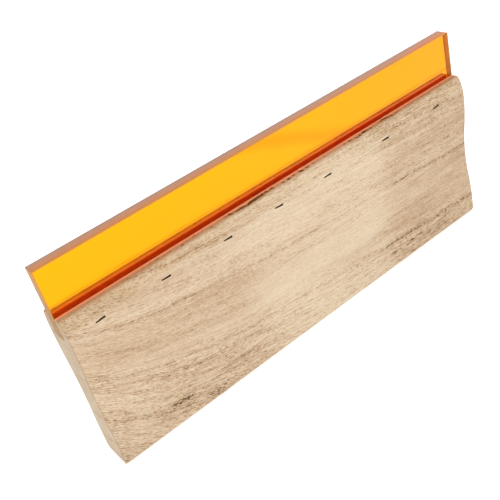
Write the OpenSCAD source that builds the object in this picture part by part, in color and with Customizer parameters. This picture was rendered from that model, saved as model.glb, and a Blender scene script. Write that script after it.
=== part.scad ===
// Screen-printing squeegee: a shaped wooden handle with a clear urethane blade set in a slot along
// its top and held by a row of sunk staples.
// Millimetres. X runs along the blade, the stapled face looks to -Y, and +Z runs from the butt of
// the handle to the working edge of the blade. The origin is the centre of the butt.

/* [Blade] */
// Length of the handle and the blade
length = 330; // [320:5:600]
// Thickness of the blade
blade_t = 9.5; // [6:0.5:10]
// Height of the blade above the lips of the handle
blade_out = 31.5; // [20:0.5:45]
// Depth of the blade in the handle
blade_in = 14.5; // [12:0.5:14.5]

/* [Handle] */
// Height of the handle
handle_h = 113; // [111:1:120]
// Thickness of the handle at the butt
butt_t = 25; // [22:0.5:32]
// Height of the thickest line of the butt
butt_z = 12; // [8:1:16]
// Thickness of the handle at the waist
waist_t = 20; // [16:0.5:21]
// Height of the waist
waist_z = 50; // [45:1:55]
// Thickness of the handle at the head
head_t = 28; // [27:0.5:32]
// Height of the thickest line of the head
head_z = 98; // [95:1:100]
// Thickness across the two flat lips
lip_t = 17; // [16:0.5:18]
// Rounding of the lip's outer edges
lip_r = 3; // [2:0.5:3.5]
// Rounding of the butt's edges
butt_r = 3; // [1:0.5:5]

/* [Slot] */
// Depth of the slot below the lips
slot_depth = 15.5; // [15.5:0.5:18]
// Gap between the blade and each wall of the slot
slot_gap = 0.15; // [0.1:0.05:0.3]
// Rounding of the slot's bottom corners
slot_r = 1.5; // [0.5:0.25:1.5]

/* [Staples] */
// Distance of each staple from the left end of the handle
staple_at = [21, 66, 112, 153, 195, 249, 300];
// Angle of each staple to the lip, in degrees
staple_tilt = [6, -1, -2, -4, 1, -2, 6];
// Distance of the staples below the lips
staple_drop = 10.3; // [8:0.1:11]
// Width of the crown
crown_w = 6.5; // [5:0.1:8]
// Length of the legs
leg_l = 22; // [18:0.5:24]
// Thickness of the wire across the crown and along it
wire_t = 1; // [0.8:0.1:1.2]
// Width of the wire, seen on the crown
wire_w = 1.2; // [0.8:0.1:1.4]
// Depth of the crown's outer face below the wood
sunk = 0.8; // [0.2:0.1:1.2]
// Play of the staple driver around the crown, in the groove it leaves
driver_play = 0.15; // [0.1:0.05:0.3]

/* [Hidden] */
COUNT = len(staple_at);

slot_w = blade_t + 2 * slot_gap;
staple_z = handle_h - staple_drop;
shoulder_r = edge_to_bulge_radius(head_t / 2, lip_t / 2, handle_h - head_z, lip_r);
crown_y = -half_thickness_at_staples() + sunk;
bend_r = wire_t;
point_l = 1.5 * wire_t;
past = 2;

// Points of an arc about [y, z], from one angle to another.
function arc(y, z, r, from, to, steps) =
    [for (i = [0 : steps]) let (a = from + (to - from) * i / steps) [y + r * cos(a), z + r * sin(a)]];

// Two equal arcs join two thicknesses in a smooth S. Each turns through this angle.
function sway_angle(rise, run) = 2 * atan(abs(rise) / run);

// Radius of each of those two arcs.
function sway_radius(rise, run) = run / (2 * sin(sway_angle(rise, run)));

// Radius of the shoulder that leaves the head's thickest line upright and runs smoothly into the
// small rounding of the lip's edge.
function edge_to_bulge_radius(bulge, flat, up, r) =
    let (out = bulge - flat) (out * out + up * up - 2 * up * r) / (2 * (out - r));

// Half the handle's thickness at the staples' height, on the shoulder.
function half_thickness_at_staples() =
    head_t / 2 - shoulder_r + sqrt(pow(shoulder_r, 2) - pow(staple_z - head_z, 2));

// The back half of the handle's outline, from the butt up to the lip.
function half_outline() =
    let (
        low_run = waist_z - butt_z,
        low_a = sway_angle(butt_t / 2 - waist_t / 2, low_run),
        low_r = sway_radius(butt_t / 2 - waist_t / 2, low_run),
        top_run = head_z - waist_z,
        top_a = sway_angle(head_t / 2 - waist_t / 2, top_run),
        top_r = sway_radius(head_t / 2 - waist_t / 2, top_run),
        // The lip's edge meets the shoulder where both arcs have the same direction.
        meet_a = atan2(handle_h - lip_r - head_z, lip_t / 2 - head_t / 2 + shoulder_r)
    )
    concat(
        arc(butt_t / 2 - butt_r, butt_r, butt_r, -90, 0, 6),
        arc(butt_t / 2 - low_r, butt_z, low_r, 0, low_a, 6),
        arc(waist_t / 2 + low_r, waist_z, low_r, 180 + low_a, 180, 6),
        arc(waist_t / 2 + top_r, waist_z, top_r, 180, 180 - top_a, 8),
        arc(head_t / 2 - top_r, head_z, top_r, -top_a, 0, 8),
        arc(head_t / 2 - shoulder_r, head_z, shoulder_r, 0, meet_a, 8),
        arc(lip_t / 2, handle_h - lip_r, lip_r, meet_a, 90, 6)
    );

// The slot's outline, open past the lips.
function slot_outline() =
    let (bottom = handle_h - slot_depth, side = slot_w / 2)
    concat(
        [[-side, handle_h + past]],
        arc(-side + slot_r, bottom + slot_r, slot_r, 180, 270, 4),
        arc(side - slot_r, bottom + slot_r, slot_r, 270, 360, 4),
        [[side, handle_h + past]]
    );

function mirrored(points) = [for (i = [len(points) - 1 : -1 : 0]) [-points[i][0], points[i][1]]];

// Carries a drawing of [Y, Z] points along the whole part.
module along_part(l) {
    translate([-l / 2, 0, 0]) rotate([90, 0, 90]) linear_extrude(l) children();
}

// Places a staple's parts: origin at the middle of the crown's outer face, legs to +Y.
module at_staple(i) {
    translate([staple_at[i] - length / 2, crown_y, staple_z]) rotate([0, -staple_tilt[i], 0]) children();
}

// One staple: a bent wire with a square crown and two pointed legs.
module staple_wire() {
    half = crown_w / 2;
    outline = concat(
        arc(-half + bend_r, bend_r, bend_r, 180, 270, 4),
        arc(half - bend_r, bend_r, bend_r, 270, 360, 4),
        [[half, leg_l - point_l], [half - wire_t, leg_l]],
        [[half - wire_t, wire_t], [-half + wire_t, wire_t]],
        [[-half + wire_t, leg_l], [-half, leg_l - point_l]]
    );
    translate([0, 0, -wire_w / 2]) linear_extrude(wire_w) polygon(outline);
}

// The groove that the driver leaves in the wood over a sunk crown.
module driver_groove() {
    groove_w = crown_w + 2 * driver_play;
    groove_h = wire_w + 2 * driver_play;
    translate([-groove_w / 2, -sunk - past, -groove_h / 2]) cube([groove_w, sunk + past + bend_r, groove_h]);
}

module handle() {
    color("burlywood") difference() {
        along_part(length) polygon(concat(half_outline(), mirrored(half_outline())));
        along_part(length + 2 * past) polygon(slot_outline());
        for (i = [0 : COUNT - 1]) at_staple(i) {
            staple_wire();
            driver_groove();
        }
    }
}

module blade() {
    color("orange", 0.8) difference() {
        translate([-length / 2, -blade_t / 2, handle_h - blade_in]) cube([length, blade_t, blade_in + blade_out]);
        for (i = [0 : COUNT - 1]) at_staple(i) staple_wire();
    }
}

module staple(i) {
    color("dimgray") at_staple(i) staple_wire();
}

handle();
blade();
for (i = [0 : COUNT - 1]) staple(i);
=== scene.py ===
import math

import bmesh
import bpy
import numpy as np
from mathutils import Matrix, Vector, noise


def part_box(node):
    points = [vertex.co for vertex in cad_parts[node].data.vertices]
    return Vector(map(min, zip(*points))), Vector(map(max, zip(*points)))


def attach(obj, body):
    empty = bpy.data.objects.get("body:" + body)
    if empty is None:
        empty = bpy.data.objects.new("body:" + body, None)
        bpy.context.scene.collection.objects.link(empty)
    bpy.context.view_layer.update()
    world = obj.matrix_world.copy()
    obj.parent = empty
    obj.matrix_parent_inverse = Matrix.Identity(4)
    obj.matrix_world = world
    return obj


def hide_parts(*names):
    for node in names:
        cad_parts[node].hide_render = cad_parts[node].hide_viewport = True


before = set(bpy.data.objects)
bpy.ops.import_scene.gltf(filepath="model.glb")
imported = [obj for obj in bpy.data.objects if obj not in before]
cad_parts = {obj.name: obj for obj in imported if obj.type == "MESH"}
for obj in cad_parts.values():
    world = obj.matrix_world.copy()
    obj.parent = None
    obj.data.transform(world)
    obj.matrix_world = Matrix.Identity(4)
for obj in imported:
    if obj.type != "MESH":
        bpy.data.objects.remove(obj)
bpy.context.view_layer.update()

MM = 0.001

# ---------------------------------------------------------------- places, from the frame
HANDLE_LOW, HANDLE_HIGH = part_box("handle")
BLADE_LOW, BLADE_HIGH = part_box("blade")
STAPLES = sorted(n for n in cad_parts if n.startswith("staple_"))
LEFT = HANDLE_LOW.x
RIGHT = HANDLE_HIGH.x
LIP = HANDLE_HIGH.z

# The same in mm, for the materials.
LEFT_MM = LEFT / MM
LENGTH_MM = (RIGHT - LEFT) / MM
LIP_MM = LIP / MM
BLADE_HALF_MM = BLADE_HIGH.y / MM
FLAT_HALF_MM = 8.5                    # from the middle of the part to the outer edge of a flat lip
SLOT_WALL_MM = BLADE_HALF_MM + 0.3    # just inside the wood of the slot's walls
SLOT_LOW_MM = BLADE_LOW.z / MM - 1.5  # just inside the wood of the slot's bottom
ROW_LOW_MM = min(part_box(n)[0].z for n in STAPLES) / MM - 0.5
ROW_HIGH_MM = max(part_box(n)[1].z for n in STAPLES) / MM + 0.5

# ---------------------------------------------------------------- sizes of the added detail
END_EASE = 0.7 * MM        # rounding where the handle's ends meet its sides
EASE_STEPS = 4             # sections in that rounding
RING_STEP = 1.0 * MM       # spacing of the handle's sections
FINE_STEP = 0.5 * MM       # spacing of the outline's points near the lips
COARSE_STEP = 2.5 * MM     # and below them
FINE_DEPTH = 3.5 * MM      # how far below the lips the fine points go
CORNER = math.radians(40)  # a turn sharper than this stays a corner
CORNER_REACH = 2.1 * MM    # how far from a corner an inset draws the points together
STRAIGHT = 2.5             # a step this many times its neighbour's length is a flat
SMOOTH = math.radians(35)  # an edge that turns less than this is shaded smooth
FLAT_AREA = 50 * MM**2     # a face larger than this is truly flat
TOUCHING = 0.001 * MM      # points nearer than this are one point

CHIP_DEPTH = 0.55 * MM     # deepest torn grain along the lips' outer edges
CHIP_REACH = 1.5 * MM      # half width of that torn line
CHIP_INSET = 0.9 * MM      # how far in from the lips' edges it runs
CHIP_WANDER = 1.4 * MM     # and how far it wanders

BLADE_EASE = 0.25 * MM     # rounding of the blade's edges
WIRE_EASE = 0.12 * MM      # rounding of the staples' wire
CROWN_FACE = 0.01 * MM     # how far a point of a crown's outer face may lie behind the foremost one

# How open the groove over a crown is at its left end, where fibres sprang back, and at its right
# end, as parts of the wire's width.
GROOVE_LEFT = 0.65
GROOVE_RIGHT = 1.05
GROOVE_BACK = 1.0 * MM     # the groove ends at the crown's back, this far below its outer face
GROOVE_CUTTER = 6 * MM     # length of the block that cuts it
RAGGED = 0.09 * MM         # how far its edges wander
RAGGED_SCALE = 900         # and how often, per metre
SLIVER = 0.005 * MM        # edges shorter than this are left out of the grooved handle

# ---------------------------------------------------------------- the wood's figure, in mm
SWEEP_RUN = 57.0                  # how far from the left end the fibres fall
SWEEP_DROP = 59.0                 # how far they fall there
SWEEP_SPREAD = 0.34               # and how much further apart they lie after it
SLOPE = 0.06                      # their fall along the rest, per mm
SWAY = 6.0                        # how far they sway
BROAD = (0.009, 0.06, 0.06)       # noise scales along and across the fibres, per mm
STREAK = (0.012, 0.25, 0.25)
FINE = (0.06, 1.5, 1.5)
FLECK = (0.5, 2.2, 2.2)
HAIR = (0.15, 4.2, 4.2)
THREAD = (0.008, 0.3, 0.3)
RINGS = (-6.0, 16.0, 36.0, 67.0, 100.0, 123.0, 142.0)  # the fibres with a dark growth line
RING_WIDTH = 2.4
GRAIN_FADE = 5.0
OPEN_GRAIN = (                    # from fibre, to fibre, how open the pores between are
    (-60.0, 70.0, 1.0),
    (97.0, 112.0, 0.4),
    (127.0, 180.0, 0.8),
)
CLOUDS = (                        # along, up, half length, half height, strength
    (49, 17, 12, 4.5, 0.7),
    (74, 6, 16, 4, 0.45),
    (10, 68, 12, 9, 0.12),
    (57, 69, 16, 10, 0.08),
    (243, 12.6, 6, 1.2, 1.0),
    (260, 13.0, 3.4, 1.2, 1.1),
    (270, 13.0, 3.4, 1.1, 1.0),
)

# ---------------------------------------------------------------- the blade's look, in mm
SHADOW_LINE_UP = 7.2                     # height above the lips of the soft painted shadow line
STREAK_UP = 139.0                 # height of the slanting streak at the middle of the blade's length
STREAK_FALL = 0.36                # and its fall, per mm
AMBER = (0.998, 0.855, 0.0, 1)    # what the urethane lets through
AMBER_DENSITY = 650.0

# ---------------------------------------------------------------- studio and camera
FLOOR_HALF = 6.0
FLOOR_GLOW = 0.28
HORIZON_LEVEL = 1.0
HORIZON_UP = 0.1                  # sine of the height above the horizon at which the sky starts to dim
ZENITH_LEVEL = 0.65
ZENITH_UP = 0.8                   # and of the height at which it is dimmest
AIM = Vector((-32.9, 0, 76.9)) * MM
VIEW_LEFT = math.radians(29.66)
VIEW_UP = math.radians(32.2)
VIEW_ROLL = math.radians(16.2)
VIEW_DISTANCE = 502.3 * MM
LENS = 56.43
SENSOR = 36.0


# ---------------------------------------------------------------- node graphs
class Graph:
    """A material's node tree, with short ways to add and link nodes."""

    def __init__(self, name):
        self.material = bpy.data.materials.new(name)
        self.material.use_nodes = True
        self.tree = self.material.node_tree
        self.tree.nodes.clear()
        self.coords = self.add("TexCoord").outputs

    def add(self, kind, inputs=(), **settings):
        """A node of that kind. inputs maps a socket's name or number to a value or to a socket."""
        made = self.tree.nodes.new("ShaderNode" + kind)
        for key, value in settings.items():
            setattr(made, key, value)
        for key, value in dict(inputs).items():
            if isinstance(value, bpy.types.NodeSocket):
                self.tree.links.new(value, made.inputs[key])
            else:
                made.inputs[key].default_value = value
        return made

    def math(self, operation, a, b=0.0):
        return self.add("Math", {0: a, 1: b}, operation=operation).outputs[0]

    def product(self, first, *others):
        for other in others:
            first = self.math("MULTIPLY", first, other)
        return first

    def sum(self, *terms):
        """The sum of (value, weight) terms."""
        total = self.product(*terms[0])
        for value, weight in terms[1:]:
            inputs = {0: value, 1: weight, 2: total}
            total = self.add("Math", inputs, operation="MULTIPLY_ADD").outputs[0]
        return total

    def largest(self, values):
        first, *others = values
        for other in others:
            first = self.math("MAXIMUM", first, other)
        return first

    def away(self, value, middle=0.0):
        """How far a value is from a middle one, either way."""
        return self.math("ABSOLUTE", self.math("SUBTRACT", value, middle))

    def ramp(self, value, low, high):
        """0 below low, 1 above high and smooth between them. With low above high it falls."""
        start, end = (0.0, 1.0) if low < high else (1.0, 0.0)
        inputs = {0: value, 1: min(low, high), 2: max(low, high), 3: start, 4: end}
        return self.add("MapRange", inputs, interpolation_type="SMOOTHSTEP").outputs[0]

    def scaled(self, vector, by):
        return self.add("VectorMath", {0: vector, 1: by}, operation="MULTIPLY").outputs[0]

    def split(self, vector):
        """The X, Y and Z of a vector."""
        return self.add("SeparateXYZ", {0: vector}).outputs

    def place(self):
        """The place on the part along X, Y and Z, in mm."""
        return self.split(self.scaled(self.coords["Object"], (1 / MM, 1 / MM, 1 / MM)))

    def noise(self, vector, scale, detail=2.0, roughness=0.5):
        place = self.scaled(vector, scale)
        inputs = {"Vector": place, "Scale": 1.0, "Detail": detail, "Roughness": roughness}
        return self.add("TexNoise", inputs, noise_dimensions="3D").outputs["Fac"]

    def centred(self, value):
        """A noise about 0 instead of about 0.5."""
        return self.math("SUBTRACT", value, 0.5)

    def mix(self, factor, a, b):
        return self.add("Mix", {0: factor, 6: a, 7: b}, data_type="RGBA").outputs[2]

    def colours(self, value, stops):
        """A colour read off along a row of (position, colour) stops."""
        made = self.add("ValToRGB", {0: value})
        marks = made.color_ramp.elements
        while len(marks) < len(stops):
            marks.new(1.0)
        for mark, (position, colour) in zip(marks, stops):
            mark.position = position
            mark.color = colour
        return made.outputs[0]

    def finish(self, shader, volume=None):
        """The material, with a Principled shader of those inputs as its surface."""
        output = self.add("OutputMaterial")
        surface = self.add("BsdfPrincipled", shader)
        self.tree.links.new(surface.outputs[0], output.inputs["Surface"])
        if volume:
            self.tree.links.new(volume.outputs[0], output.inputs["Volume"])
        return self.material


def srgb(*levels):
    """A colour given in 0 to 255, as a picture shows it, as linear light."""
    linear = [c / 255 / 12.92 if c <= 10 else ((c / 255 + 0.055) / 1.055) ** 2.4 for c in levels]
    return (*linear, 1.0)


# ---------------------------------------------------------------- the wood
class Wood(Graph):
    """The wood's node tree, with the places and noises that its parts share."""

    def __init__(self):
        super().__init__("bare_wood")
        x, self.depth, self.up = self.place()
        self.along = self.math("SUBTRACT", x, LEFT_MM)
        self.beside = self.away(self.depth)
        self.facing = self.split(self.coords["Normal"])
        self.front = self.ramp(self.depth, 3.0, -3.0)
        self.shoulder = self.ramp(self.up, LIP_MM - 9.5, LIP_MM - 6)
        self.fibre = self.fibre_number()
        grain = self.add("CombineXYZ", {0: self.along, 1: self.depth, 2: self.fibre}).outputs[0]
        self.broad = self.noise(grain, BROAD)
        self.streak = self.noise(grain, STREAK, detail=3.0, roughness=0.6)
        self.fine = self.noise(grain, FINE, roughness=0.7)
        self.fleck = self.noise(grain, FLECK, roughness=0.6)
        self.hair = self.noise(grain, HAIR)
        self.thread = self.noise(grain, THREAD, detail=1.0)
        self.bands = self.growth_bands()
        openness = self.sum((self.fleck, 1.0), (self.bands, 0.06), (self.streak, 0.12))
        self.pores = self.ramp(openness, 0.62, 0.74)

    def fibre_number(self):
        """A fibre's number: the height in mm at which it leaves the left end."""
        run = self.math("DIVIDE", self.along, -SWEEP_RUN)
        swept = self.math("SUBTRACT", 1.0, self.math("EXPONENT", run))
        risen = self.sum((self.up, 1.0), (swept, SWEEP_DROP), (self.along, SLOPE))
        number = self.math("DIVIDE", risen, self.sum((swept, SWEEP_SPREAD), (1.0, 1.0)))
        sway = self.centred(self.noise(self.coords["Object"], (14, 30, 30)))
        return self.sum((number, 1.0), (sway, SWAY), (self.depth, 0.3))

    def open_grain(self):
        """How open the pores are. Some runs of fibres are open, and the ones between are smooth."""
        runs = []
        for start, stop, strength in OPEN_GRAIN:
            past_start = self.ramp(self.fibre, start - GRAIN_FADE, start + GRAIN_FADE)
            before_stop = self.ramp(self.fibre, stop + GRAIN_FADE, stop - GRAIN_FADE)
            runs.append(self.product(past_start, before_stop, strength))
        return self.largest(runs)

    def growth_bands(self):
        """Narrow bands of fibres with larger pores."""
        return self.largest([self.ramp(self.away(self.fibre, ring), RING_WIDTH, 0.0) for ring in RINGS])

    def growth_lines(self):
        """A thin broken dark line in the middle of each band, and fainter threads between them."""
        lines = [self.ramp(self.away(self.fibre, ring), 0.6, 0.1) for ring in RINGS]
        threads = self.ramp(self.away(self.thread, 0.5), 0.035, 0.005)
        lines.append(self.product(threads, 0.6))
        return self.product(self.largest(lines), self.ramp(self.fleck, 0.38, 0.55))

    def clouds(self):
        """Browner clouds of pores."""
        made = []
        for x, z, length, height, strength in CLOUDS:
            across = self.math("DIVIDE", self.math("SUBTRACT", self.along, x), length)
            over = self.math("DIVIDE", self.math("SUBTRACT", self.up, z), height)
            span = self.math("ADD", self.math("POWER", across, 2.0), self.math("POWER", over, 2.0))
            made.append(self.product(self.ramp(span, 1.0, 0.0), strength))
        return self.product(self.largest(made), self.ramp(self.fleck, 0.35, 0.65))

    def zones(self):
        """The paler middle of the length, and the browner right of the stapled side."""
        reach = self.sum((self.along, 1.0), (self.centred(self.streak), 50.0))
        middle = self.product(self.ramp(self.along, 95.0, 150.0), self.ramp(reach, 258.0, 226.0))
        pale = self.product(middle, self.sum((self.front, 0.5), (0.5, 1.0)))
        right = self.product(self.ramp(reach, 226.0, 258.0), self.sum((self.shoulder, -0.6), (1.0, 1.0)))
        brown = self.product(right, self.front)
        return pale, brown

    def bare_colour(self):
        """The wood's own colour, from pale to dark with its figure."""
        fine, fleck = self.centred(self.fine), self.centred(self.fleck)
        figure = self.sum((fine, 0.75), (fleck, 0.8), (self.pores, 0.1))
        contrast = self.sum((self.open_grain(), 0.6), (self.shoulder, 0.45), (0.65, 1.0))
        ends = self.ramp(self.away(self.facing[0]), 0.7, 0.95)
        pale, brown = self.zones()
        tone = self.sum(
            (self.broad, 0.4), (self.streak, 0.3), (self.product(figure, contrast), 1.0), (self.hair, 0.45),
            (self.bands, 0.06), (self.growth_lines(), 0.14), (self.clouds(), 0.6),
            (pale, -0.14), (brown, 0.045), (ends, -0.1), (self.shoulder, 0.03), (-0.11, 1.0),
        )
        return self.colours(tone, [
            (0.0, srgb(206, 190, 166)),
            (0.3, srgb(194, 175, 149)),
            (0.5, srgb(180, 156, 128)),
            (0.68, srgb(160, 131, 100)),
            (0.84, srgb(123, 91, 60)),
            (1.0, srgb(66, 42, 22)),
        ])

    def browned_ends(self, colour):
        """The eased edges at the two ends are browned by handling."""
        turn = self.away(self.facing[0])
        eased = self.product(self.ramp(turn, 0.2, 0.5), self.ramp(turn, 0.97, 0.85))
        return self.mix(self.product(eased, 0.45), colour, srgb(140, 100, 66))

    def lips(self, colour):
        """Yellower shoulders, a browner front lip, and painted amber light from the blade on the lips and
        on the slot's walls.
        """
        colour = self.mix(self.product(self.shoulder, 0.2), colour, srgb(180, 146, 100))
        rounding = self.product(self.ramp(self.up, LIP_MM - 1.1, LIP_MM), self.front, 0.4)
        colour = self.mix(rounding, colour, srgb(180, 122, 72))
        # Painted light: the amber light that the blade casts onto the lips beside it is painted into their
        # colour.
        near_blade = self.ramp(self.beside, FLAT_HALF_MM - 0.5, SLOT_WALL_MM + 0.5)
        cast = self.product(near_blade, self.ramp(self.up, LIP_MM - 0.9, LIP_MM - 0.1), 0.9)
        colour = self.mix(cast, colour, srgb(242, 160, 110))
        # Painted light: the slot's walls are painted bright salmon for the amber light that reaches them
        # through the blade.
        in_slot = self.ramp(self.beside, SLOT_WALL_MM, SLOT_WALL_MM - 0.1)
        walls = self.product(in_slot, self.ramp(self.up, SLOT_LOW_MM + 3.0, SLOT_LOW_MM + 8.0))
        return self.mix(walls, colour, srgb(238, 168, 140))

    def grooves(self, colour):
        """The driver's grooves get painted shade inside: there the stapled side turns from its own normal.
        """
        turned = self.ramp(self.away(self.facing[1]), 0.75, 0.55)
        above = self.ramp(self.up, ROW_LOW_MM - 0.5, ROW_LOW_MM)
        below = self.ramp(self.up, ROW_HIGH_MM + 0.5, ROW_HIGH_MM)
        past_left = self.ramp(self.along, 2.0, 3.0)
        before_right = self.ramp(self.along, LENGTH_MM - 2.0, LENGTH_MM - 3.0)
        outside_slot = self.ramp(self.beside, SLOT_WALL_MM + 1.0, SLOT_WALL_MM + 2.0)
        # Painted shade: the recess's walls are darkened for the shade that falls in them.
        dark = self.product(turned, above, below, past_left, before_right, self.front, outside_slot)
        return self.mix(dark, colour, srgb(66, 35, 12))

    def torn_grain(self, colour):
        """Torn grain along the lips is brown and ragged, in a paler brown stain."""
        torn = self.add("Attribute", attribute_name="torn").outputs["Fac"]
        stain = self.product(self.ramp(torn, 0.05, 0.6), self.front, 0.5)
        colour = self.mix(stain, colour, srgb(186, 136, 82))
        shred = self.noise(self.coords["Object"], (330, 900, 900), detail=5.0, roughness=0.65)
        ragged = self.ramp(self.sum((torn, 1.0), (shred, 2.6)), 1.7, 1.95)
        shreds = self.product(ragged, self.ramp(torn, 0.02, 0.12), self.sum((self.front, 0.8), (0.15, 1.0)))
        return self.mix(shreds, colour, srgb(88, 50, 20))


def wood_material():
    """Bare, pale, open-pored wood, sanded, with its grain sweeping down at the left end."""
    wood = Wood()
    colour = wood.browned_ends(wood.bare_colour())
    colour = wood.torn_grain(wood.grooves(wood.lips(colour)))
    relief = wood.sum((wood.fine, -0.5), (wood.hair, -0.4), (wood.pores, -0.5))
    bump = wood.add("Bump", {"Strength": 0.4, "Distance": 0.15 * MM, "Height": relief}).outputs[0]
    return wood.finish({
        "Base Color": colour,
        "Roughness": wood.sum((wood.fine, 0.2), (0.6, 1.0)),
        "Normal": bump,
        "Specular IOR Level": 0.3,
    })


# ---------------------------------------------------------------- the blade's and the staples' materials
def hazy_colour(g, facing, along, depth):
    """The cut faces: greyer towards the back, and more amber towards the front, where a glow of light is
    painted.
    """
    # Painted light: the amber towards the front stands for light scattered in through the lit front face.
    across = g.sum((depth, -0.5 / BLADE_HALF_MM), (0.5, 1.0))
    colour = g.colours(across, [
        (0.0, (0.22, 0.14, 0.13, 1)),
        (0.16, (0.5, 0.32, 0.28, 1)),
        (0.6, (0.68, 0.33, 0.21, 1)),
        (0.84, (0.64, 0.28, 0.06, 1)),
        (0.93, (0.78, 0.46, 0.1, 1)),
    ])
    # They are deeper at the left and paler at the right, and the left end is more golden.
    colour = g.mix(g.product(g.ramp(along, 20, -160), 0.16), colour, (0.35, 0.12, 0.08, 1))
    colour = g.mix(g.product(g.ramp(along, -60, 100), 0.12), colour, (0.9, 0.7, 0.62, 1))
    return g.mix(g.product(g.ramp(facing[0], -0.5, -0.9), 0.55), colour, (0.66, 0.45, 0.16, 1))


def cast_colour(g, haze, along, depth, up):
    """The cast faces: deeper in the right half, crossed by a soft slanting streak and a painted shadow
    line.
    """
    colour = g.mix(g.ramp(along, 0, 90), (1, 1, 1, 1), (1, 0.96, 0.7, 1))
    drift = g.centred(g.noise(g.coords["Object"], (22, 22, 45)))
    off_streak = g.away(g.sum((up, 1.0), (along, STREAK_FALL), (drift, 9.0)), STREAK_UP)
    colour = g.mix(g.ramp(off_streak, 8.0, 0.0), colour, (0.99, 0.8, 0.5, 1))
    # A painted shadow line lies a little above the front lip, soft and uneven.
    off_line = g.away(g.sum((up, 1.0), (drift, 3.0)), LIP_MM + SHADOW_LINE_UP)
    uneven = g.sum((haze, 1.0), (0.45, 1.0))
    film_and_shadow_line = g.product(g.ramp(off_line, 2.0, 0.0), g.ramp(depth, 0.0, -4.0), uneven)
    return g.mix(film_and_shadow_line, colour, (0.98, 0.52, 0.3, 1))


def urethane_material():
    """Clear amber urethane: glossy cast faces, and hazy pinkish edges and ends where the strip was cut."""
    g = Graph("amber_urethane")
    along, depth, up = g.place()
    facing = g.split(g.coords["Normal"])
    # The right end was left as it was cast, nearly clear.
    sawn = g.sum((g.ramp(facing[0], 0.5, 0.9), -0.8), (1.0, 1.0))
    cut = g.product(g.ramp(g.away(facing[1]), 0.98, 0.9), sawn)
    haze = g.noise(g.coords["Object"], (60, 900, 900), detail=3.0)
    cloudy = g.product(cut, g.sum((haze, 0.2), (0.4, 1.0)))
    hazy = hazy_colour(g, facing, along, depth)
    shader = {
        "Base Color": g.mix(cut, cast_colour(g, haze, along, depth, up), hazy),
        "Transmission Weight": g.math("SUBTRACT", 1.0, cloudy),
        "IOR": 1.5,
        "Roughness": g.sum((cut, 0.55), (0.09, 1.0)),
        "Specular Tint": (1, 0.5, 0.08, 1),
    }
    volume = g.add("VolumeAbsorption", {"Color": AMBER, "Density": AMBER_DENSITY})
    return g.finish(shader, volume)


def wire_material():
    """Steel wire browned by rust, paler at the left of each crown."""
    g = Graph("browned_steel")
    film_and_shadow_line = g.noise(g.coords["Object"], (900, 900, 900), detail=3.0)
    across = g.split(g.coords["Generated"])[0]
    # Each crown is paler towards its left end and darker towards its right.
    paler_left = g.product(g.ramp(g.sum((across, 1.0), (film_and_shadow_line, 0.6)), 0.9, 0.3), 0.45)
    colour = g.mix(g.ramp(film_and_shadow_line, 0.35, 0.65), srgb(46, 22, 5), srgb(18, 8, 2))
    colour = g.mix(paler_left, colour, srgb(150, 112, 76))
    return g.finish({"Base Color": colour, "Roughness": 0.8, "Specular IOR Level": 0.02})


def floor_material():
    """A pale matt floor, lit a little from within so that it is as white as the horizon."""
    g = Graph("pale_floor")
    return g.finish({
        "Base Color": (0.95, 0.95, 0.95, 1),
        "Roughness": 0.8,
        "Emission Color": (1, 1, 1, 1),
        "Emission Strength": FLOOR_GLOW,
    })


# ---------------------------------------------------------------- meshes
def shade(mesh):
    """Makes a bmesh smooth where it turns gently and flat on its large faces."""
    for edge in mesh.edges:
        edge.smooth = len(edge.link_faces) == 2 and edge.calc_face_angle(0.0) < SMOOTH
    for face in mesh.faces:
        face.smooth = face.calc_area() < FLAT_AREA


def piece_from(mesh, name):
    """A new object from a bmesh."""
    shade(mesh)
    data = bpy.data.meshes.new(name)
    mesh.to_mesh(data)
    mesh.free()
    piece = bpy.data.objects.new(name, data)
    bpy.context.scene.collection.objects.link(piece)
    return piece


# ---------------------------------------------------------------- the handle
def end_outline(node):
    """The outline of a CAD node's left end, as one anticlockwise loop of (y, z) points."""
    mesh = bmesh.new()
    mesh.from_mesh(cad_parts[node].data)
    bmesh.ops.remove_doubles(mesh, verts=mesh.verts, dist=TOUCHING)
    cap = {f for f in mesh.faces if all(v.co.x < LEFT + TOUCHING for v in f.verts)}
    rim = [e for e in mesh.edges if sum(f in cap for f in e.link_faces) == 1]
    beside = {}
    for edge in rim:
        a, b = edge.verts
        beside.setdefault(a, []).append(b)
        beside.setdefault(b, []).append(a)
    loop = [rim[0].verts[0]]
    before = None
    while True:
        here = loop[-1]
        after = next(v for v in beside[here] if v is not before)
        if after is loop[0]:
            break
        before = here
        loop.append(after)
    points = np.array([(v.co.y, v.co.z) for v in loop])
    mesh.free()
    y, z = points.T
    twice_area = np.sum(y * np.roll(z, -1) - np.roll(y, -1) * z)
    return points if twice_area > 0 else points[::-1]


def turns(points):
    """How far the outline turns at each of its points."""
    into = points - np.roll(points, 1, axis=0)
    out = np.roll(points, -1, axis=0) - points
    cross = into[:, 0] * out[:, 1] - into[:, 1] * out[:, 0]
    return np.arctan2(cross, np.sum(into * out, axis=1))


def tangents(points, gap):
    """The direction of a smooth curve at each of its points. A flat keeps its own direction at its ends."""
    slope = np.diff(points, axis=0) / gap[:, None]
    blend = slope[:-1] * gap[1:, None] + slope[1:] * gap[:-1, None]
    blend /= (gap[:-1] + gap[1:])[:, None]
    for i, (before, after) in enumerate(zip(gap, gap[1:])):
        if after > STRAIGHT * before:
            blend[i] = slope[i + 1]
        elif before > STRAIGHT * after:
            blend[i] = slope[i]
    return np.vstack([slope[:1], blend, slope[-1:]])


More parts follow.
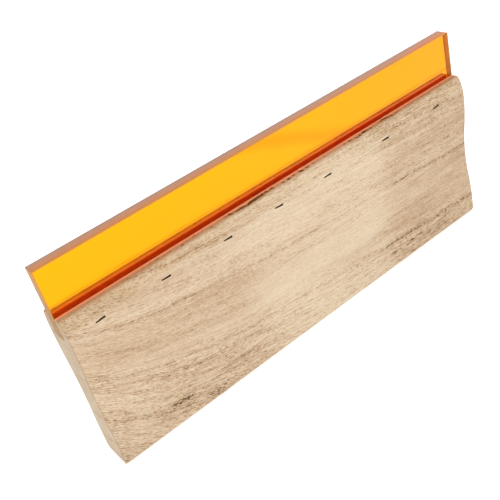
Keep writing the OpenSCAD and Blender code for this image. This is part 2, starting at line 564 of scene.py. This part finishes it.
def smooth_run(points):
    """Points along a smooth curve through a run of points, close together near the lips."""
    gap = np.linalg.norm(np.diff(points, axis=0), axis=1)
    tangent = tangents(points, gap)
    out = []
    for i, length in enumerate(gap):
        near_lip = max(points[i][1], points[i + 1][1]) > LIP - FINE_DEPTH
        count = max(1, math.ceil(length / (FINE_STEP if near_lip else COARSE_STEP)))
        for t in np.arange(count) / count:
            ends = (1 + 2 * t) * (1 - t) ** 2 * points[i] + t * t * (3 - 2 * t) * points[i + 1]
            pull = t * (1 - t) ** 2 * tangent[i] - t * t * (1 - t) * tangent[i + 1]
            out.append(ends + length * pull)
    return out


def resampled(loop):
    """The same closed outline with more points, its corners kept."""
    corners = [i for i, turn in enumerate(turns(loop)) if abs(turn) > CORNER]
    out = []
    for start, stop in zip(corners, corners[1:] + [corners[0] + len(loop)]):
        run = np.array([loop[i % len(loop)] for i in range(start, stop + 1)])
        out += smooth_run(run)
    return np.array(out)


def inset_moves(loop):
    """How each point of an anticlockwise outline moves, per unit of inset, so that no corner folds over."""
    along = np.roll(loop, -1, axis=0) - np.roll(loop, 1, axis=0)
    along /= np.linalg.norm(along, axis=1)[:, None]
    moves = np.stack([-along[:, 1], along[:, 0]], axis=1)
    turn = turns(loop)
    for corner in np.flatnonzero(abs(turn) > CORNER):
        # A corner moves along its mitre, and the points beside it are drawn together to make room.
        mitre = moves[corner] / math.cos(turn[corner] / 2)
        away = np.linalg.norm(loop - loop[corner], axis=1)
        near = np.clip(1 - away / CORNER_REACH, 0, 1)
        near[corner] = 0
        moves += (near * (along @ mitre))[:, None] * along
        moves[corner] = mitre
    return moves


def section_places():
    """(x, inset) for each of the handle's sections, with the ends eased by a quarter round."""
    angles = np.linspace(0, math.pi / 2, EASE_STEPS + 1)
    ease = [(END_EASE * (1 - math.cos(a)), END_EASE * (1 - math.sin(a))) for a in angles]
    count = round((RIGHT - LEFT - 2 * END_EASE) / RING_STEP)
    middle = np.linspace(LEFT + END_EASE, RIGHT - END_EASE, count + 1)[1:-1]
    left = [(LEFT + x, inset) for x, inset in ease]
    right = [(RIGHT - x, inset) for x, inset in reversed(ease)]
    return left + [(x, 0.0) for x in middle] + right


def torn_depth(x, side):
    """0 to 1: how deeply the grain is torn along a lip's outer edge at x, least near the two ends."""
    place = x / MM
    patch = noise.noise(Vector((place * 0.045, side * 7.3, 1.7)))
    bite = noise.noise(Vector((place * 0.33, side * 4.1, 8.2)))
    fray = noise.noise(Vector((place * 0.9, side * 2.6, 3.4)))
    from_left = min(1.0, max(0.0, (place + 150) / 130))
    to_right = min(1.0, max(0.35, (130 - place) / 60))
    return from_left * to_right * max(0.0, min(1.0, 0.3 + 1.6 * patch + 1.5 * bite + 0.6 * fray))


def near_tear(loop, x, side, edge):
    """How near each point of the outline lies to the middle of the torn line at x, from 0 to 1."""
    wander = noise.noise(Vector((x / MM * 0.12, side * 5.9, 2.3)))
    middle = edge - np.array([side * (CHIP_INSET + CHIP_WANDER * wander), 0])
    return np.exp(-np.sum((loop - middle) ** 2, axis=1) / CHIP_REACH**2)


def handle_piece():
    """The wooden handle: the CAD outline carried along X, with eased ends and torn grain on the lips."""
    loop = resampled(end_outline("handle"))
    moves = inset_moves(loop)
    # The outer edge of each flat lip, where the grain tears: the widest points at the lips' full height.
    flat = loop[loop[:, 1] > LIP - TOUCHING]
    edges = [(-1, np.array([flat[:, 0].min(), LIP])), (1, np.array([flat[:, 0].max(), LIP]))]

    mesh = bmesh.new()
    torn_layer = mesh.verts.layers.float.new("torn")
    rings = []
    for x, inset in section_places():
        from_end = min(x - LEFT, RIGHT - x)
        fade = min(1.0, max(0.0, from_end / END_EASE - 1))
        torn = fade * sum(torn_depth(x, side) * near_tear(loop, x, side, edge) for side, edge in edges)
        section = loop + moves * (inset + CHIP_DEPTH * torn)[:, None]
        ring = [mesh.verts.new((x, y, z)) for y, z in section]
        for vert, depth in zip(ring, torn):
            vert[torn_layer] = depth
        rings.append(ring)
    for near, far in zip(rings, rings[1:]):
        for i in range(len(loop)):
            j = (i + 1) % len(loop)
            mesh.faces.new((near[i], near[j], far[j], far[i]))
    mesh.faces.new(rings[0][::-1])
    mesh.faces.new(rings[-1])
    bmesh.ops.recalc_face_normals(mesh, faces=mesh.faces)
    return piece_from(mesh, "handle_wood")


def crown_frame(node):
    """The middle of a staple's crown on its outer face, its width, its height and its tilt."""
    points = np.array([v.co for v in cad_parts[node].data.vertices])
    low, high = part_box(node)
    face = points[points[:, 1] < low.y + CROWN_FACE]
    away = face - face.mean(axis=0)
    tilt = math.atan2(np.sum(away[:, 0] * away[:, 2]), np.sum(away[:, 0] ** 2))
    height = ((high.z - low.z) - (high.x - low.x) * math.sin(abs(tilt))) / math.cos(tilt)
    width = (high.x - low.x) / math.cos(tilt) - height * math.tan(abs(tilt))
    return Vector(((low.x + high.x) / 2, low.y, (low.z + high.z) / 2)), width, height, tilt


def groove_block(number, node):
    """The block that cuts the driver's groove over one crown, slightly ragged, as a mesh."""
    centre, width, height, tilt = crown_frame(node)
    turn = Matrix.Translation(centre) @ Matrix.Rotation(-tilt, 4, "Y")
    size = Vector((width, GROOVE_CUTTER, height))
    box = bmesh.new()
    bmesh.ops.create_cube(box, size=1.0)
    bmesh.ops.subdivide_edges(box, edges=list(box.edges), cuts=5, use_grid_fill=True)
    for vert in box.verts:
        x, y, z = vert.co
        open_up = GROOVE_LEFT + (GROOVE_RIGHT - GROOVE_LEFT) * (x + 0.5)
        back = y * size.y - size.y / 2 + GROOVE_BACK
        local = Vector((x * size.x, back, z * size.z * open_up))
        place = local * RAGGED_SCALE + Vector((number * 5.0, 0, 0))
        sideways = noise.noise(place)
        upwards = noise.noise(place + Vector((0, 0, 31.7)))
        vert.co = turn @ (local + Vector((sideways, 0, upwards)) * RAGGED)
    block = bpy.data.meshes.new("groove")
    box.to_mesh(block)
    box.free()
    return block


def cut_grooves(piece):
    """Cuts the driver's groove over each sunk crown into the handle."""
    mesh = bmesh.new()
    for number, node in enumerate(STAPLES):
        block = groove_block(number, node)
        mesh.from_mesh(block)
        bpy.data.meshes.remove(block)
    cutter = piece_from(mesh, "groove_cutter")
    cut = piece.modifiers.new("grooves", "BOOLEAN")
    cut.operation = "DIFFERENCE"
    cut.object = cutter
    cut.solver = "EXACT"
    bpy.context.view_layer.update()
    evaluated = piece.evaluated_get(bpy.context.evaluated_depsgraph_get())
    grooved = bmesh.new()
    grooved.from_mesh(evaluated.data)
    # A point on two edges alone would leave a folded sliver once the faces beside it are triangles.
    bmesh.ops.dissolve_degenerate(grooved, dist=SLIVER, edges=list(grooved.edges))
    bmesh.ops.dissolve_verts(grooved, verts=[v for v in grooved.verts if len(v.link_edges) == 2])
    shade(grooved)
    piece.modifiers.remove(cut)
    grooved.to_mesh(piece.data)
    grooved.free()
    bpy.data.objects.remove(cutter)


# ---------------------------------------------------------------- the blade
def blade_piece():
    """The urethane strip, square all round, with its edges barely eased."""
    mesh = bmesh.new()
    bmesh.ops.create_cube(mesh, size=1.0)
    size = BLADE_HIGH - BLADE_LOW
    middle = (BLADE_HIGH + BLADE_LOW) / 2
    for vert in mesh.verts:
        vert.co = Vector((vert.co.x * size.x, vert.co.y * size.y, vert.co.z * size.z)) + middle
    bmesh.ops.bevel(mesh, geom=list(mesh.edges), offset=BLADE_EASE, segments=3, profile=0.5, affect="EDGES")
    return piece_from(mesh, "blade_strip")


# ---------------------------------------------------------------- floor, light and camera
def floor_piece():
    """A wide flat floor under the part."""
    mesh = bmesh.new()
    bmesh.ops.create_grid(mesh, x_segments=1, y_segments=1, size=FLOOR_HALF)
    floor = piece_from(mesh, "floor")
    floor.data.materials.append(floor_material())
    return floor


def studio_world():
    """White all round at the horizon, so that the floor has no edge, and a little dimmer overhead."""
    world = bpy.data.worlds.new("studio")
    world.use_nodes = True
    nodes = world.node_tree.nodes
    links = world.node_tree.links
    height = nodes.new("ShaderNodeSeparateXYZ")
    links.new(nodes.new("ShaderNodeTexCoord").outputs["Generated"], height.inputs[0])
    level = nodes.new("ShaderNodeMapRange")
    level.interpolation_type = "SMOOTHSTEP"
    for socket, value in enumerate((HORIZON_UP, ZENITH_UP, HORIZON_LEVEL, ZENITH_LEVEL), start=1):
        level.inputs[socket].default_value = value
    links.new(height.outputs[2], level.inputs[0])
    links.new(level.outputs[0], nodes["Background"].inputs["Strength"])
    nodes["Background"].inputs["Color"].default_value = (1, 1, 1, 1)
    return world


def soft_light(name, place, aim, size, power):
    """A square area light at a place, turned to what it lights."""
    data = bpy.data.lights.new(name, "AREA")
    data.size = size
    data.energy = power
    lamp = bpy.data.objects.new(name, data)
    lamp.location = place
    lamp.rotation_euler = (Vector(aim) - Vector(place)).to_track_quat("-Z", "Y").to_euler()
    bpy.context.scene.collection.objects.link(lamp)


def view_camera():
    """The camera looks down on the stapled face from the left, rolled so that the part lies slantwise."""
    back = -math.cos(VIEW_UP)
    direction = Vector((back * math.sin(VIEW_LEFT), back * math.cos(VIEW_LEFT), math.sin(VIEW_UP)))
    data = bpy.data.cameras.new("camera")
    data.lens = LENS
    data.sensor_width = SENSOR
    data.clip_start = 10 * MM
    camera = bpy.data.objects.new("camera", data)
    level = (-direction).to_track_quat("-Z", "Y").to_matrix().to_4x4()
    roll = Matrix.Rotation(-VIEW_ROLL, 4, "Z")
    camera.matrix_world = Matrix.Translation(AIM + direction * VIEW_DISTANCE) @ level @ roll
    bpy.context.scene.collection.objects.link(camera)
    return camera


# ---------------------------------------------------------------- put together
wood = wood_material()
urethane = urethane_material()
wire = wire_material()

handle = handle_piece()
cut_grooves(handle)
handle.data.materials.clear()
handle.data.materials.append(wood)
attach(handle, "root")
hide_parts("handle")

blade = blade_piece()
blade.data.materials.append(urethane)
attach(blade, "root")
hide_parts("blade")

for node in STAPLES:
    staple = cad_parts[node]
    staple.data.materials.clear()
    staple.data.materials.append(wire)
    ease = staple.modifiers.new("eased wire", "BEVEL")
    ease.width = WIRE_EASE
    ease.segments = 2

floor = floor_piece()

soft_light("key", (-0.3, -0.9, 0.8), (0, 0, 0.07), size=0.9, power=8.0)
soft_light("back", (0.2, 0.5, 1.1), (0, 0, 0.1), size=0.6, power=5.0)
bpy.context.scene.world = studio_world()
bpy.context.scene.view_settings.view_transform = "Standard"
bpy.context.scene.camera = view_camera()


bpy.context.view_layer.update()
